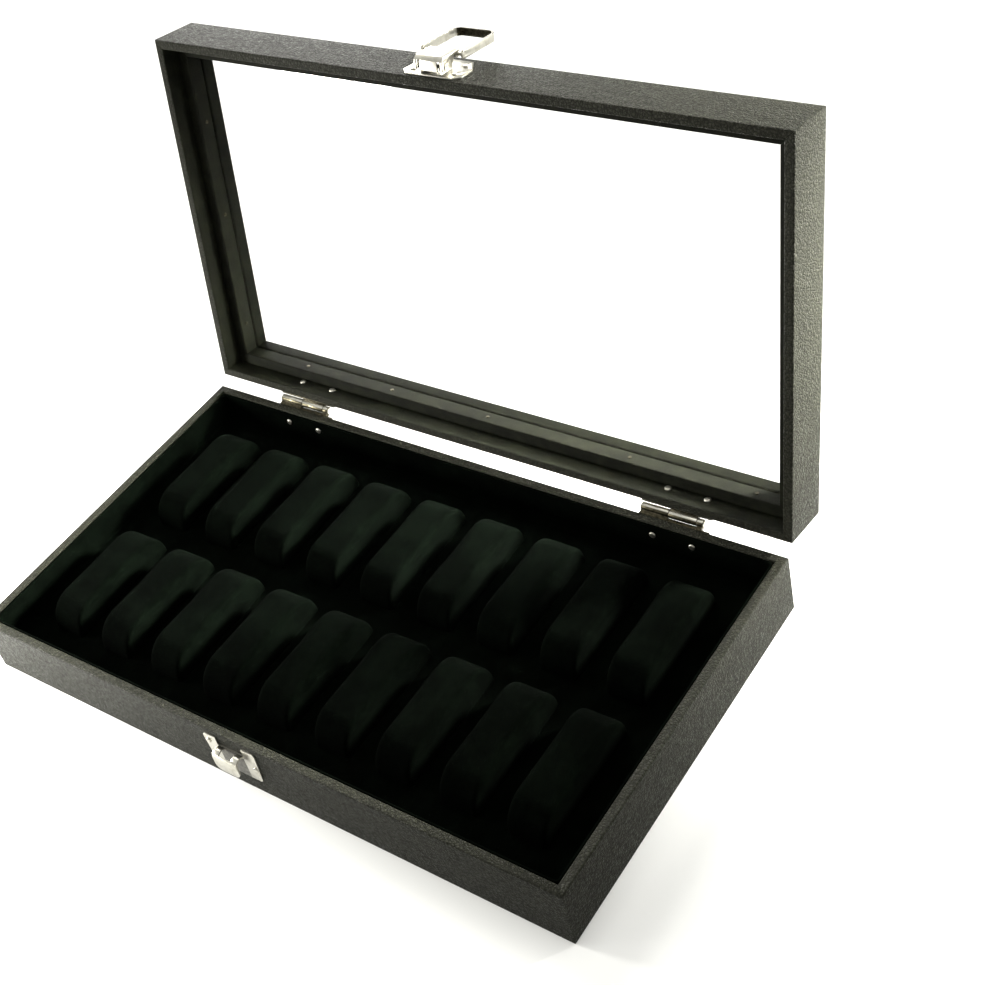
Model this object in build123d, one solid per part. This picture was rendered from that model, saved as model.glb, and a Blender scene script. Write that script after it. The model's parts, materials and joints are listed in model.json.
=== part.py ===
"""Glass-top watch display case: leatherette box, velvet tray with two rows of humps, hinged lid.

Millimetres, +Z up. The origin is the centre of the underside: X runs along the case, the front
with the catch faces -Y, and the hinges are at the back. The lid is built shut and then turned
open about its hinge pins, which is how the case stands on display.
"""
from build123d import *
from math import cos, radians
import os

# ---- Case -------------------------------------------------------------------------------------
case_width = 375.0          # outside, along X
case_depth = 210.0          # outside, along Y
base_height = 36.0
lid_depth = 30.0            # rim to outer face
rail_thickness = 5.0        # wrapped wood rails of both base and lid
edge_round = 0.9            # soft corner of the wrapped leatherette
lid_open_angle = 100.6      # degrees from shut
rim_gap = 0.3               # between the shut lid and the base

# ---- Base inside ------------------------------------------------------------------------------
cover_thickness = 0.6       # sheet glued on the underside
panel_thickness = 3.0
floor_thickness = 2.0
floor_level = 18.0          # top of the tray board
bearer_width = 10.0
liner_thickness = 1.5
liner_drop = 0.6            # top of the wall lining below the rim

# ---- Humps ------------------------------------------------------------------------------------
arches_per_row = 9
arch_pitch = 37.5
arch_width = 22.5
arch_length = 73.0
arch_height = 17.0
arch_end_radius = 15.0
row_gap = 14.0              # trough between the two rows
arch_edge_round = 1.5

# ---- Lid inside -------------------------------------------------------------------------------
lip_width = 7.0             # how far the lip stands in from the rail
lip_thickness = 8.0
glass_thickness = 2.0
glass_clearance = 0.5       # around the pane
strip_height = 9.4
brad_radius = 0.6
brad_head_radius = 1.0
brad_head_thickness = 0.4
brad_depth_in_rail = 3.0
brads_on_back = (-0.74, -0.38, 0.0, 0.51, 0.92)     # places, as parts of half the strip
brads_on_front = (-0.83, -0.41, 0.03, 0.44, 0.83)
brads_on_left = (-0.58, 0.03, 0.80)
brads_on_right = (-0.64, 0.05, 0.76)

# ---- Hinges -----------------------------------------------------------------------------------
hinge_spacing = 245.0       # centre to centre
barrel_length = 35.0
barrel_radius = 2.3
hinge_reach = 4.1           # pin axis behind the back face
hinge_rise = 0.9            # pin axis above the base rim
end_knuckle = 3.2           # the short outer knuckle
knuckle_gap = 0.3
pin_radius = 1.1
pin_play = 0.05
pin_head_radius = 1.7
pin_head_thickness = 0.5
leaf_thickness = 0.8
leaf_width = 40.0
leaf_offset = 2.0           # leaf centre beside the barrel centre
base_leaf_height = 11.0
lid_leaf_height = 14.0
leaf_rim_margin = 0.4
crank_height = 2.6          # where the leaf leaves the wall for the barrel
hinge_rivet_spacing = 22.4
hinge_rivet_offset = 4.3    # rivet pair's centre beside the barrel centre
base_rivet_drop = 6.4       # below the base rim
lid_rivet_rise = 8.3        # above the lid rim

# ---- Rivets -----------------------------------------------------------------------------------
rivet_radius = 1.2
rivet_head_radius = 1.9
rivet_head_height = 0.8
rivet_dome = 0.6            # rounding of a rivet's head
rivet_play = 0.05
latch_rivet_head_radius = 1.5
latch_rivet_depth = 4.0     # shank length into the rail

# ---- Latch on the lid: distances along Z from the lid rim, heights out from the front face -----
latch_x = -3.0
latch_sheet = 0.8
plate_width = 35.0
plate_neck = 22.0           # plate width at its far end
plate_start = 2.3
plate_length = 22.4
plate_corner = 3.5          # cut off each corner by the rim
plate_straight = 12.5       # how far the plate keeps its full width
latch_rivet_x = 12.6        # the pair by the rim
latch_rivet_place = 7.4
latch_far_rivet_x = 11.2    # the pair at the far end
latch_far_rivet_place = 18.4
ear_spacing = 12.4          # outside of the two ears
ear_start = 4.6
ear_length = 9.6
ear_height = 7.2
pivot_place = 6.0
pivot_height = 4.3
pivot_radius = 1.0
ear_hole = 2.0
ear_hole_place = 12.2
ear_hole_height = 3.8
lever_width = 16.4
lever_start = 3.2
lever_top = 9.5
lever_shoulder = 2.0        # slope at the lever's front edge
lever_skirt = 2.5           # lowest edge of the lever's cheeks
cheek_length = 11.4         # along the top of a cheek
cheek_foot = 7.6            # along its lowest edge
cheek_slot = 0.7            # open corner between the front lip and a cheek
ear_slot = 0.3              # clearance of the front lip beside the ears
lever_bend = 0.3            # inside of the lever's folds, off the sharp corner
curl_radius = 1.9
bail_place = 16.6
bail_pin_radius = 1.05
bail_pin_play = 0.05
bail_width = 25.0
bail_length = 28.0          # pin axis to the far edge
bail_strip = 1.0
bail_height = 4.2
bail_corner = 5.0
bail_hooked = 189.0         # turned from lying back to hooked on the keeper, lever shut

# ---- Keeper on the base front wall ------------------------------------------------------------
keeper_width = 34.0         # along its top
keeper_foot_width = 30.6
keeper_bottom = 11.3
keeper_top = 33.0
keeper_notch_width = 17.0
hook_play = 1.4             # from the shut bail up to the top of the hook's round crook
keeper_corner = 2.0
hook_width = 16.0
hook_sheet = 0.9
hook_throat = 5.0           # clear space behind the hook
hook_bottom = 16.6
hook_corner = 4.0           # rounding of the tongue's lower corners
hook_slot_width = 8.0
hook_slot_height = 3.2
keeper_rivet_x = 14.1
keeper_rivet_high = 28.4
keeper_rivet_low = 20.6

# ---- Worked out -------------------------------------------------------------------------------
half_width = case_width / 2
half_depth = case_depth / 2
inner_half_width = half_width - rail_thickness
inner_half_depth = half_depth - rail_thickness
open_half_width = inner_half_width - lip_width      # the window in the lid
open_half_depth = inner_half_depth - lip_width
lid_rim = base_height + rim_gap
hinge_y = half_depth + hinge_reach
hinge_z = base_height + hinge_rise
hinge_axis = Axis((0, hinge_y, hinge_z), (1, 0, 0))
glass_top = lid_depth - lip_thickness
glass_bottom = glass_top - glass_thickness
strip_bottom = glass_bottom - strip_height
front_face = -half_depth
shut_bail_reach = (bail_length - bail_strip) * cos(radians(bail_hooked - 180))
crook_top = lid_rim + bail_place - shut_bail_reach + hook_play
hook_bend = (hook_throat + latch_sheet + hook_sheet) / 2
curl_height = lever_top - curl_radius               # the bail's pin above the front face
keeper_notch_bottom = crook_top - hook_throat / 2 - hook_sheet + hook_bend
overlap = 1.0               # how far cutting tools run past what they cut
tolerance = 1e-3


def box(x0, x1, y0, y1, z0, z1):
    """A block from its lowest and highest corners."""
    centre = ((x0 + x1) / 2, (y0 + y1) / 2, (z0 + z1) / 2)
    return Pos(*centre) * Box(x1 - x0, y1 - y0, z1 - z0)


def rod_x(x0, x1, y, z, radius):
    """A round bar along X."""
    return Pos((x0 + x1) / 2, y, z) * Rot(0, 90, 0) * Cylinder(radius, x1 - x0)


def rod_y(x, y0, y1, z, radius):
    """A round bar along Y."""
    return Pos(x, (y0 + y1) / 2, z) * Rot(90, 0, 0) * Cylinder(radius, y1 - y0)


def extrude_x(points, x0, x1):
    """A prism along X whose section is a polygon of (y, z) points."""
    outline = Plane.YZ * make_face(Polyline(*points, close=True))
    return Pos(x0, 0, 0) * extrude(outline, amount=x1 - x0, dir=(1, 0, 0))


def side_wedge(side, z0, z1):
    """The space of one side of a mitred frame, cut at 45 degrees through the corners."""
    w, d = half_width + overlap, half_depth + overlap
    corners = {
        "front": [(-w, -d), (w, -d), (w - d, 0), (-w + d, 0)],
        "back": [(w, d), (-w, d), (-w + d, 0), (w - d, 0)],
        "left": [(-w, d), (-w, -d), (-w + d, 0)],
        "right": [(w, -d), (w, d), (w - d, 0)],
    }[side]
    return Pos(0, 0, z0) * extrude(make_face(Polyline(*corners, close=True)), amount=z1 - z0)


def on_edge(edges, places, axis):
    """The edges whose centres lie at one of some places along an axis."""
    kept = []
    for edge in edges:
        here = getattr(edge.center(), axis)
        if any(abs(here - place) < tolerance for place in places):
            kept.append(edge)
    return kept


def open_lid(piece):
    """Turn a piece of the shut lid to where it stands open."""
    return piece.rotate(hinge_axis, -lid_open_angle)


# ---- Frames -----------------------------------------------------------------------------------
def base_rails():
    """Four mitred rails, with their rivet holes."""
    ring = box(-half_width, half_width, -half_depth, half_depth, 0, base_height)
    ring = fillet(ring.edges().filter_by(Axis.Z), edge_round)
    ring = fillet(ring.faces().sort_by(Axis.Z)[-1].edges(), edge_round)
    ring = fillet(ring.faces().sort_by(Axis.Z)[0].edges(), edge_round)
    ring -= box(-inner_half_width, inner_half_width, -inner_half_depth, inner_half_depth,
                -overlap, base_height + overlap)
    for x in hinge_rivet_places():
        ring -= rod_y(x, inner_half_depth - overlap, half_depth + overlap,
                      base_height - base_rivet_drop, rivet_radius + rivet_play)
    for x, z in keeper_rivet_places():
        ring -= rod_y(x, front_face - overlap, front_face + latch_rivet_depth, z,
                      rivet_radius + rivet_play)
    return {f"base_rail_{side}": ring & side_wedge(side, -overlap, base_height + overlap)
            for side in ("front", "back", "left", "right")}


def lid_rails():
    """Four mitred L-section mouldings: a rail and the lip that the glass beds on."""
    z0, z1 = lid_rim, lid_rim + lid_depth
    ring = box(-half_width, half_width, -half_depth, half_depth, z0, z1)
    ring = fillet(ring.edges().filter_by(Axis.Z), edge_round)
    ring = fillet(ring.faces().sort_by(Axis.Z)[-1].edges(), edge_round)
    ring = fillet(ring.faces().sort_by(Axis.Z)[0].edges(), edge_round)
    ring -= box(-inner_half_width, inner_half_width, -inner_half_depth, inner_half_depth,
                z0 - overlap, z0 + glass_top)
    ring -= box(-open_half_width, open_half_width, -open_half_depth, open_half_depth,
                z0, z1 + overlap)
    window_edges = [edge for edge in on_edge(ring.edges(), (z1,), "Z")
                    if abs(edge.center().X) <= open_half_width + tolerance
                    and abs(edge.center().Y) <= open_half_depth + tolerance]
    ring = fillet(window_edges, edge_round)
    for x in hinge_rivet_places():
        ring -= rod_y(x, inner_half_depth - overlap, half_depth + overlap,
                      z0 + lid_rivet_rise, rivet_radius + rivet_play)
    for x, place in latch_rivet_places():
        ring -= rod_y(x, front_face - overlap, front_face + latch_rivet_depth,
                      z0 + place, rivet_radius + rivet_play)
    for brad in brad_places():
        ring -= brad_shank(*brad, brad_radius + rivet_play)
    return {f"lid_rail_{side}": ring & side_wedge(side, z0 - overlap, z1 + overlap)
            for side in ("front", "back", "left", "right")}


# ---- Base inside ------------------------------------------------------------------------------
def base_floor():
    """Bottom panel, its cover sheet, the battens and the tray board."""
    x, y = inner_half_width, inner_half_depth
    panel_top = cover_thickness + panel_thickness
    bearer_top = floor_level - floor_thickness
    cover = box(-x, x, -y, y, 0, cover_thickness)
    panel = box(-x, x, -y, y, cover_thickness, panel_top)
    board = box(-x, x, -y, y, bearer_top, floor_level)
    side = y - bearer_width
    battens = [box(-x, x, sign * y - bearer_width * (sign > 0), sign * y + bearer_width * (sign < 0),
                   panel_top, bearer_top) for sign in (-1, 1)]
    for centre in (-x + bearer_width / 2, 0, x - bearer_width / 2):
        battens.append(box(centre - bearer_width / 2, centre + bearer_width / 2, -side, side,
                           panel_top, bearer_top))
    return {"underside_cover": cover, "bottom_panel": panel, "tray_floor": board,
            "tray_bearers": Compound(children=battens)}


def wall_liners():
    """Velvet-covered card along the four walls, standing on the tray board."""
    x, y, t = inner_half_width, inner_half_depth, liner_thickness
    top = base_height - liner_drop
    back = box(-x, x, y - t, y, floor_level, top)
    for place in hinge_rivet_places():
        back -= rod_y(place, y - t - overlap, y + overlap, base_height - base_rivet_drop,
                      rivet_radius + rivet_play)
    return {"wall_liner_front": box(-x, x, -y, -y + t, floor_level, top),
            "wall_liner_back": back,
            "wall_liner_left": box(-x, -x + t, -y + t, y - t, floor_level, top),
            "wall_liner_right": box(x - t, x, -y + t, y - t, floor_level, top)}


def arches():
    """Two rows of humps with rounded ends, each a pad that a watch strap lies over."""
    near, far = row_gap / 2, row_gap / 2 + arch_length
    top = floor_level + arch_height
    nodes = {}
    for row, sign in (("front", -1), ("back", 1)):
        for index in range(arches_per_row):
            x = (index - (arches_per_row - 1) / 2) * arch_pitch
            low, high = sorted((sign * near, sign * far))
            pad = box(x - arch_width / 2, x + arch_width / 2, low, high, floor_level, top)
            ends = on_edge(pad.edges().filter_by(Axis.X), (top,), "Z")
            pad = fillet(ends, arch_end_radius)
            rims = [e for e in pad.edges() if e.center().Z > floor_level + arch_edge_round
                    and abs(abs(e.center().X - x) - arch_width / 2) < arch_edge_round]
            nodes[f"arch_{row}_{index + 1}"] = fillet(rims, arch_edge_round)
    return nodes


# ---- Rivets and brads -------------------------------------------------------------------------
def hinge_places():
    """The barrel centres of the left and right hinge."""
    return {"left": -hinge_spacing / 2, "right": hinge_spacing / 2}


def hinge_rivet_places():
    """The X places of the four rivets of both hinges."""
    places = []
    for x in hinge_places().values():
        for sign in (-1, 1):
            places.append(x + hinge_rivet_offset + sign * hinge_rivet_spacing / 2)
    return places


def latch_rivet_places():
    """The latch plate's rivets: a pair by the rim and a pair at the far end, as (x, place)."""
    pairs = ((latch_rivet_x, latch_rivet_place), (latch_far_rivet_x, latch_far_rivet_place))
    return [(latch_x + sign * x, place) for x, place in pairs for sign in (-1, 1)]


def keeper_rivet_places():
    """The keeper's rivets: one in the left ear, one low in the right flange."""
    return [(latch_x - keeper_rivet_x, keeper_rivet_high), (latch_x + keeper_rivet_x, keeper_rivet_low)]


def domed_head(x, y, z, radius, height, outward):
    """A low domed rivet head on a wall at y, standing out along outward (+1 or -1 in Y)."""
    head = rod_y(x, min(y, y + outward * height), max(y, y + outward * height), z, radius)
    face = head.faces().sort_by(Axis.Y)[-1 if outward > 0 else 0]
    return fillet(face.edges(), rivet_dome)


def rivet(x, z, inside, outside, head_radius=rivet_head_radius):
    """A rivet along Y with a dome on the inside wall and a flatter one on the outside."""
    low, high = sorted((inside, outside))
    towards = 1 if outside > inside else -1
    body = rod_y(x, low, high, z, rivet_radius)
    body += domed_head(x, inside, z, head_radius, rivet_head_height, -towards)
    return body + domed_head(x, outside, z, head_radius, rivet_head_height, towards)


def short_rivet(x, z, surface, depth, head_radius):
    """A rivet along Y whose shank ends inside the front rail."""
    body = rod_y(x, surface, surface + depth, z, rivet_radius)
    return body + domed_head(x, surface, z, head_radius, rivet_head_height, -1)


def brad_places():
    """Each brad as (side, place along the strip)."""
    half = {"back": open_half_width, "front": open_half_width,
            "left": open_half_depth, "right": open_half_depth}
    shares = {"back": brads_on_back, "front": brads_on_front,
              "left": brads_on_left, "right": brads_on_right}
    return [(side, share * half[side]) for side in shares for share in shares[side]]


def brad_shank(side, place, radius, start=0.0):
    """The part of a brad that runs through the strip into the rail."""
    end = rail_thickness - brad_depth_in_rail
    z = lid_rim + strip_bottom + strip_height / 2
    if side in ("front", "back"):
        sign = 1 if side == "back" else -1
        a, b = sorted((sign * (open_half_depth - start), sign * (half_depth - end)))
        return rod_y(place, a, b, z, radius)
    sign = 1 if side == "right" else -1
    a, b = sorted((sign * (open_half_width - start), sign * (half_width - end)))
    return rod_x(a, b, place, z, radius)


def brads():
    """Small nails through the retaining strips, heads proud of the strip."""
    z = lid_rim + strip_bottom + strip_height / 2
    solids = []
    for side, place in brad_places():
        nail = brad_shank(side, place, brad_radius)
        if side in ("front", "back"):
            sign = 1 if side == "back" else -1
            a, b = sorted((sign * (open_half_depth), sign * (open_half_depth - brad_head_thickness)))
            nail += rod_y(place, a, b, z, brad_head_radius)
        else:
            sign = 1 if side == "right" else -1
            a, b = sorted((sign * (open_half_width), sign * (open_half_width - brad_head_thickness)))
            nail += rod_x(a, b, place, z, brad_head_radius)
        solids.append(nail)
    return Compound(children=solids)


# ---- Lid inside -------------------------------------------------------------------------------
def lid_fillings():
    """The pane on its lip and the four mitred strips that hold it."""
    x, y = inner_half_width - glass_clearance, inner_half_depth - glass_clearance
    pane = box(-x, x, -y, y, lid_rim + glass_bottom, lid_rim + glass_top)
    z0, z1 = lid_rim + strip_bottom, lid_rim + glass_bottom
    ring = box(-inner_half_width, inner_half_width, -inner_half_depth, inner_half_depth, z0, z1)
    ring -= box(-open_half_width, open_half_width, -open_half_depth, open_half_depth,
                z0 - overlap, z1 + overlap)
    for brad in brad_places():
        ring -= brad_shank(*brad, brad_radius + rivet_play, overlap)
    nodes = {f"retaining_strip_{side}": ring & side_wedge(side, z0 - overlap, z1 + overlap)
             for side in ("front", "back", "left", "right")}
    nodes["glass"] = pane
    nodes["strip_brads"] = brads()
    return nodes


# ---- Hinges -----------------------------------------------------------------------------------
def knuckle_spans(x):
    """X spans of the base leaf's two knuckles and of the lid leaf's one."""
    start, end = x - barrel_length / 2, x + barrel_length / 2
    long_knuckle = (barrel_length - end_knuckle - 2 * knuckle_gap) / 2
    first = (start, start + long_knuckle)
    second = (first[1] + knuckle_gap, first[1] + knuckle_gap + long_knuckle)
    third = (second[1] + knuckle_gap, end)
    return {"base": [first, third], "lid": [second]}


def hinge_leaf(x, spans, z_far, z_near, rivet_z):
    """A leaf on the back face, cranked out to its rolled knuckles."""
    wall, skin = half_depth, half_depth + leaf_thickness
    centre = x + leaf_offset
    low, high = sorted((z_far, z_near))
    leaf = box(centre - leaf_width / 2, centre + leaf_width / 2, wall, skin, low, high)
    away = 1 if z_near > z_far else -1
    root = z_near - away * crank_height
    reach = barrel_radius - leaf_thickness
    for x0, x1 in spans:
        arm = extrude_x([(wall, root), (skin, root), (hinge_y, hinge_z - away * barrel_radius),
                         (hinge_y - reach, hinge_z), (wall, z_near)], x0, x1)
        leaf += arm
        leaf += rod_x(x0, x1, hinge_y, hinge_z, barrel_radius)
    for x0, x1 in spans:
        leaf -= rod_x(x0 - knuckle_gap / 2, x1 + knuckle_gap / 2, hinge_y, hinge_z,
                      pin_radius + pin_play)
    for sign in (-1, 1):
        leaf -= rod_y(x + hinge_rivet_offset + sign * hinge_rivet_spacing / 2, wall - overlap,
                      skin + overlap, rivet_z, rivet_radius + rivet_play)
    return leaf


def hinge_pin(x):
    """The pin through all the knuckles, with a small head at each end."""
    start, end = x - barrel_length / 2, x + barrel_length / 2
    pin = rod_x(start, end, hinge_y, hinge_z, pin_radius)
    pin += rod_x(start - pin_head_thickness, start, hinge_y, hinge_z, pin_head_radius)
    return pin + rod_x(end, end + pin_head_thickness, hinge_y, hinge_z, pin_head_radius)


def hinges():
    """Both hinges, as pieces of the base and pieces of the lid."""
    base_nodes, lid_nodes = {}, {}
    near_base, near_lid = base_height - leaf_rim_margin, lid_rim + leaf_rim_margin
    base_rivet_z, lid_rivet_z = base_height - base_rivet_drop, lid_rim + lid_rivet_rise
    for name, x in hinge_places().items():
        spans = knuckle_spans(x)
        base_nodes[f"hinge_{name}_base_leaf"] = hinge_leaf(
            x, spans["base"], base_height - base_leaf_height, near_base, base_rivet_z)
        base_nodes[f"hinge_{name}_pin"] = hinge_pin(x)
        lid_nodes[f"hinge_{name}_lid_leaf"] = hinge_leaf(
            x, spans["lid"], lid_rim + lid_leaf_height, near_lid, lid_rivet_z)
    skin = half_depth + leaf_thickness
    lined = inner_half_depth - liner_thickness
    base_nodes["hinge_base_rivets"] = Compound(
        children=[rivet(x, base_rivet_z, lined, skin) for x in hinge_rivet_places()])
    lid_nodes["hinge_lid_rivets"] = Compound(
        children=[rivet(x, lid_rivet_z, inner_half_depth, skin) for x in hinge_rivet_places()])
    return base_nodes, lid_nodes


# ---- Keeper -----------------------------------------------------------------------------------
def keeper():
    """The catch plate: a tapered flange with two ears and a hook whose mouth faces down."""
    outer, inner = front_face - latch_sheet, front_face
    wide, foot = keeper_width / 2, keeper_foot_width / 2
    outline = [(-wide, keeper_top), (-foot, keeper_bottom), (foot, keeper_bottom), (wide, keeper_top)]
    points = [(latch_x + x, z) for x, z in outline]
    face = Plane.XZ * make_face(Polyline(*points, close=True))
    plate = Pos(0, front_face, 0) * extrude(face, amount=latch_sheet, dir=(0, -1, 0))
    plate = fillet(plate.edges().filter_by(Axis.Y), keeper_corner)
    plate -= box(latch_x - keeper_notch_width / 2, latch_x + keeper_notch_width / 2,
                 outer - overlap, inner + overlap, keeper_notch_bottom, keeper_top + overlap)
    bend_z = crook_top - hook_throat / 2
    bend_y = front_face - hook_bend
    hook_tip = bend_y - hook_bend
    inside_y = outer - hook_throat / 2
    hx0, hx1 = latch_x - hook_width / 2, latch_x + hook_width / 2
    cut = (hx0 - overlap, hx1 + overlap)
    hook = rod_x(hx0, hx1, bend_y, bend_z, hook_bend)
    tongue = box(hx0, hx1, hook_tip, bend_y, hook_bottom, bend_z)
    feet = on_edge(tongue.edges().filter_by(Axis.Y), (hook_bottom,), "Z")
    hook += fillet(feet, hook_corner)
    hook -= rod_x(*cut, inside_y, bend_z, hook_throat / 2)
    hook -= box(*cut, outer - hook_throat, inner + overlap, hook_bottom - overlap, bend_z)
    hook -= box(latch_x - hook_slot_width / 2, latch_x + hook_slot_width / 2, outer - hook_throat,
                outer, crook_top - hook_slot_height, keeper_top)
    catch = plate + hook
    for x, z in keeper_rivet_places():
        catch -= rod_y(x, outer - overlap, inner + overlap, z, rivet_radius + rivet_play)
    heads = [short_rivet(x, z, outer, latch_sheet + latch_rivet_depth, latch_rivet_head_radius)
             for x, z in keeper_rivet_places()]
    return {"keeper_plate": catch, "keeper_rivets": Compound(children=heads)}


# ---- Latch ------------------------------------------------------------------------------------
def out(height):
    """The Y of a height out from the front face."""
    return front_face - height


def up(place):
    """The Z of a distance from the lid rim."""
    return lid_rim + place


def latch_plate():
    """The fixed plate: wide by the rim, tapered beyond, with two upright ears for the lever."""
    half, neck, front = plate_width / 2, plate_neck / 2, plate_width / 2 - plate_corner
    full, end = plate_start + plate_corner, plate_start + plate_length
    taper = plate_start + plate_straight
    outline = [(-front, plate_start), (front, plate_start), (half, full), (half, taper),
               (neck, end), (-neck, end), (-half, taper), (-half, full)]
    points = [(latch_x + x, up(z)) for x, z in outline]
    face = Plane.XZ * make_face(Polyline(*points, close=True))
    plate = Pos(0, front_face, 0) * extrude(face, amount=latch_sheet, dir=(0, -1, 0))
    ear_end = ear_start + ear_length
    for sign in (-1, 1):
        a, b = sorted((latch_x + sign * ear_spacing / 2,
                       latch_x + sign * (ear_spacing / 2 - latch_sheet)))
        ear = box(a, b, out(ear_height), out(latch_sheet), up(ear_start), up(ear_end))
        high = on_edge(ear.edges().filter_by(Axis.X), (out(ear_height),), "Y")
        plate += fillet(high, pivot_place - ear_start + rivet_play)
    plate -= rod_x(latch_x - ear_spacing, latch_x + ear_spacing, out(pivot_height), up(pivot_place),
                   pivot_radius)
    hole = ear_hole / 2
    plate -= box(latch_x - ear_spacing, latch_x + ear_spacing, out(ear_hole_height + hole),
                 out(ear_hole_height - hole), up(ear_hole_place - hole), up(ear_hole_place + hole))
    for x, place in latch_rivet_places():
        plate -= rod_y(x, front_face - latch_sheet - overlap, front_face + overlap, up(place),
                       rivet_radius + rivet_play)
    return plate


def latch_lever():
    """The lever: a folded channel with cheeks on the pivot pin and a rolled end for the bail."""
    half, skin = lever_width / 2, latch_sheet
    start, top, shoulder = lever_start, lever_top, lever_top - lever_shoulder
    outer = [(out(lever_skirt), up(start)), (out(shoulder), up(start)),
             (out(top), up(start + lever_shoulder)), (out(top), up(bail_place)),
             (out(top - skin), up(bail_place)), (out(top - skin), up(start + cheek_length)),
             (out(lever_skirt), up(start + cheek_foot))]
    lever = extrude_x(outer, latch_x - half, latch_x + half)
    inner = [(out(0), up(start + skin)), (out(shoulder - lever_bend), up(start + skin)),
             (out(top - skin), up(start + lever_shoulder + lever_bend)),
             (out(top - skin), up(bail_place)), (out(0), up(bail_place))]
    lever -= extrude_x(inner, latch_x - half + skin, latch_x + half - skin)
    for sign in (-1, 1):
        a, b = sorted((latch_x + sign * (half - skin),
                       latch_x + sign * (ear_spacing / 2 - latch_sheet - ear_slot)))
        lever -= box(a, b, out(shoulder), out(0), up(start - overlap), up(start + skin))
        a, b = sorted((latch_x + sign * (half + overlap), latch_x + sign * (half - skin)))
        lever -= box(a, b, out(shoulder - lever_bend), out(0), up(start + skin),
                     up(start + skin + cheek_slot))
    lever += rod_x(latch_x - half, latch_x + half, out(curl_height), up(bail_place), curl_radius)
    lever -= rod_x(latch_x - half - overlap, latch_x + half + overlap, out(curl_height),
                   up(bail_place), bail_pin_radius + bail_pin_play)
    lever -= rod_x(latch_x - half - overlap, latch_x + half + overlap, out(pivot_height),
                   up(pivot_place), pivot_radius + pin_play)
    return lever


def latch_pins():
    """The lever's pivot pin, fixed in the ears, and the bail's pin, fixed in the bail's arms."""
    half = lever_width / 2
    pivot = rod_x(latch_x - half - pin_head_thickness, latch_x + half + pin_head_thickness,
                  out(pivot_height), up(pivot_place), pivot_radius)
    bail = rod_x(latch_x - bail_width / 2, latch_x + bail_width / 2,
                 out(curl_height), up(bail_place), bail_pin_radius)
    return pivot, bail


def latch_bail():
    """The bail: a bent strip loop, folded back past the lid's outer face when it isn't in use."""
    low, high = out(curl_height + bail_height / 2), out(curl_height - bail_height / 2)
    start, end = bail_place - bail_height / 2, bail_place + bail_length
    half = bail_width / 2
    loop = box(latch_x - half, latch_x + half, low, high, up(start), up(end))
    corners = on_edge(loop.edges().filter_by(Axis.Y), (up(end),), "Z")
    loop = fillet(corners, bail_corner)
    inside = box(latch_x - half + bail_strip, latch_x + half - bail_strip, low - overlap,
                 high + overlap, up(start) - overlap, up(end - bail_strip))
    corners = on_edge(inside.edges().filter_by(Axis.Y), (up(end - bail_strip),), "Z")
    loop -= fillet(corners, bail_corner - bail_strip)
    tails = on_edge(loop.edges().filter_by(Axis.X), (up(start),), "Z")
    loop = fillet(tails, bail_height / 2 - rivet_play)
    return loop - rod_x(latch_x - half - overlap, latch_x + half + overlap, out(curl_height),
                        up(bail_place), bail_pin_radius)


def latch():
    """All the latch's pieces on the lid's front rail."""
    pivot, bail_pin = latch_pins()
    surface = front_face - latch_sheet
    heads = [short_rivet(x, up(place), surface, latch_sheet + latch_rivet_depth,
                         latch_rivet_head_radius) for x, place in latch_rivet_places()]
    return {"latch_plate": latch_plate(), "latch_rivets": Compound(children=heads),
            "latch_pivot_pin": pivot, "latch_lever": latch_lever(), "bail_pin": bail_pin,
            "latch_bail": latch_bail()}


# ---- Assembly ---------------------------------------------------------------------------------
def main():
    os.makedirs("parts", exist_ok=True)
    base_hinge, lid_hinge = hinges()
    base_nodes = {**base_rails(), **base_floor(), **wall_liners(), **arches(), **base_hinge,
                  **keeper()}
    lid_nodes = {**lid_rails(), **lid_fillings(), **lid_hinge, **latch()}
    lid_nodes = {name: open_lid(piece) for name, piece in lid_nodes.items()}
    for name, piece in {**base_nodes, **lid_nodes}.items():
        piece.label = name
        export_step(piece, f"parts/{name}.step")
    axes = {"lid_hinge": Vector(0, hinge_y, hinge_z),
            "latch_lever": open_lid(Vertex(latch_x, out(pivot_height), up(pivot_place))).center(),
            "latch_bail": open_lid(Vertex(latch_x, out(curl_height), up(bail_place))).center()}
    for name, point in axes.items():
        print(f"{name} axis through {point.X:.4f}, {point.Y:.4f}, {point.Z:.4f}")


if __name__ == "__main__":
    main()
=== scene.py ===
"""Looks of a glass-top watch display case.

Leatherette rails mitred at the corners, a velvet tray with two rows of soft humps, a clear pane
behind nailed strips, and a nickel draw catch. Metres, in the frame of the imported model: X runs
along the case, the catch faces -Y and the hinges are at the back. The lid is modelled shut and
then turned open about its hinge pins.
"""

from collections.abc import Callable, Iterator
from contextlib import contextmanager
from dataclasses import dataclass, field
from enum import Enum
import json
import logging
import math

import bmesh
import bpy
from mathutils import Matrix, Vector

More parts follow.
